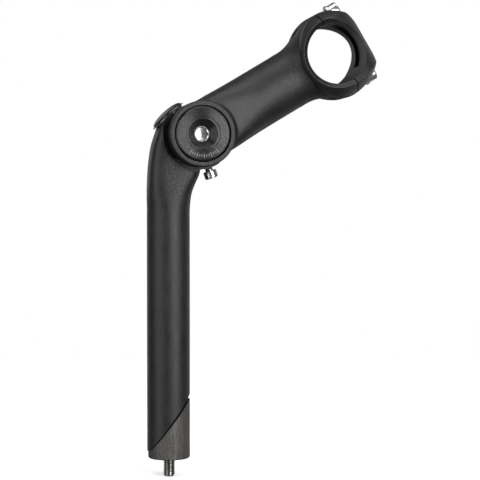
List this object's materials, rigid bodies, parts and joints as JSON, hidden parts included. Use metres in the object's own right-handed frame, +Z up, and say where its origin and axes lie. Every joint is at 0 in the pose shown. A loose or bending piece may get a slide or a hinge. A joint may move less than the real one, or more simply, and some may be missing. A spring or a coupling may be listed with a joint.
{
  "type": "handlebar stem",
  "caption": "Angle-adjustable quill stem: wedge-clamped quill, tilting forged arm with toothed pivot lock, and an open-front handlebar clamp.",
  "frame": {"origin": "on the quill axis at the minimum-insertion line, 64.5 mm above the bottom of the wedge", "axes": "+Z up along the quill axis, +X forwards towards the handlebar, Y sideways with the pivot bolt's socket on -Y"},
  "size_m": [0.1224, 0.04, 0.247],
  "materials": {
    "anodised_black": "fine bead-blasted matt black over forged aluminium",
    "turned_black": "lathe-turned, satin black anodised",
    "plug_rubber": "smooth, slightly glossy moulded rubber",
    "raw_wedge": "rough dark grey cast surface",
    "dark_steel": "dark phosphated steel",
    "zinc_steel": "bright zinc plate",
    "hard_steel": "hardened, lightly oiled"
  },
  "bodies": {
    "quill": {"quill_shaft": "anodised_black", "tongue_ring_left": "hard_steel", "tongue_ring_right": "hard_steel", "expander_washer": "zinc_steel"},
    "expander_bolt": {"expander_bolt": "dark_steel"},
    "wedge": {"expander_wedge": "raw_wedge"},
    "plug": {"access_plug": "plug_rubber"},
    "arm": {"stem_arm": "anodised_black", "ear_ring_left": "hard_steel", "ear_ring_right": "hard_steel", "splined_sleeve": "hard_steel", "pivot_cap_left": "turned_black", "pivot_cap_right": "turned_black", "pivot_bolt_washer": "zinc_steel", "pivot_nut_washer": "zinc_steel"},
    "pivot_bolt": {"pivot_bolt": "zinc_steel"},
    "pivot_nut": {"pivot_nut": "zinc_steel"},
    "lock_key": {"lock_key": "hard_steel"},
    "lock_screw": {"lock_screw": "zinc_steel"},
    "faceplate": {"faceplate": "anodised_black", "faceplate_washer_upper": "zinc_steel", "faceplate_washer_lower": "zinc_steel"},
    "face_bolt_upper": {"faceplate_bolt_upper": "zinc_steel"},
    "face_bolt_lower": {"faceplate_bolt_lower": "zinc_steel"}
  },
  "joints": [
    {"name": "arm_tilt", "type": "hinge", "parent": "quill", "child": "arm", "pos_m": [0.0152, 0, 0.1025], "axis": [0, -1, 0], "range_deg": [-31, 29]},
    {"name": "expander_bolt_turn", "type": "hinge", "parent": "quill", "child": "expander_bolt", "pos_m": [0.00025, 0, 0.08], "axis": [0, 0, 1], "range_deg": [0, 1800.5]},
    {"name": "wedge_drop", "type": "slide", "parent": "quill", "child": "wedge", "axis": [0, 0, -1], "range_m": [0, 0.005]},
    {"name": "plug_pull", "type": "slide", "parent": "quill", "child": "plug", "axis": [-0.6756, 0, 0.7373], "range_m": [0, 0.012]},
    {"name": "pivot_bolt_turn", "type": "hinge", "parent": "arm", "child": "pivot_bolt", "pos_m": [0.0152, 0, 0.1025], "axis": [0, -1, 0], "range_deg": [0, 360.5]},
    {"name": "pivot_nut_back_off", "type": "slide", "parent": "arm", "child": "pivot_nut", "axis": [0, 1, 0], "range_m": [0, 0.00125]},
    {"name": "lock_screw_turn", "type": "hinge", "parent": "lock_key", "child": "lock_screw", "pos_m": [0.0152, 0, 0.1025], "axis": [0.3256, 0, -0.9455], "range_deg": [0, 1080.5]},
    {"name": "lock_key_slide", "type": "slide", "parent": "quill", "child": "lock_key", "axis": [0.3256, 0, -0.9455], "range_m": [0, 0.0021]},
    {"name": "upper_bolt_turn", "type": "hinge", "parent": "faceplate", "child": "face_bolt_upper", "pos_m": [0.0757, 0, 0.16102], "axis": [0.8572, 0, 0.515], "range_deg": [0, 1800.5]},
    {"name": "lower_bolt_turn", "type": "hinge", "parent": "faceplate", "child": "face_bolt_lower", "pos_m": [0.09527, 0, 0.12845], "axis": [0.8572, 0, 0.515], "range_deg": [0, 1800.5]},
    {"name": "faceplate_open", "type": "slide", "parent": "arm", "child": "faceplate", "axis": [0.8572, 0, 0.515], "range_m": [0, 0.004]}
  ],
  "couplings": [
    {"joint": "expander_bolt_turn", "follows": "wedge_drop", "rad_per_m": 6283.2},
    {"joint": "pivot_bolt_turn", "follows": "pivot_nut_back_off", "rad_per_m": 5026.5},
    {"joint": "lock_screw_turn", "follows": "lock_key_slide", "rad_per_m": 8976},
    {"joint": "upper_bolt_turn", "follows": "faceplate_open", "rad_per_m": 7854},
    {"joint": "lower_bolt_turn", "follows": "faceplate_open", "rad_per_m": 7854}
  ]
}
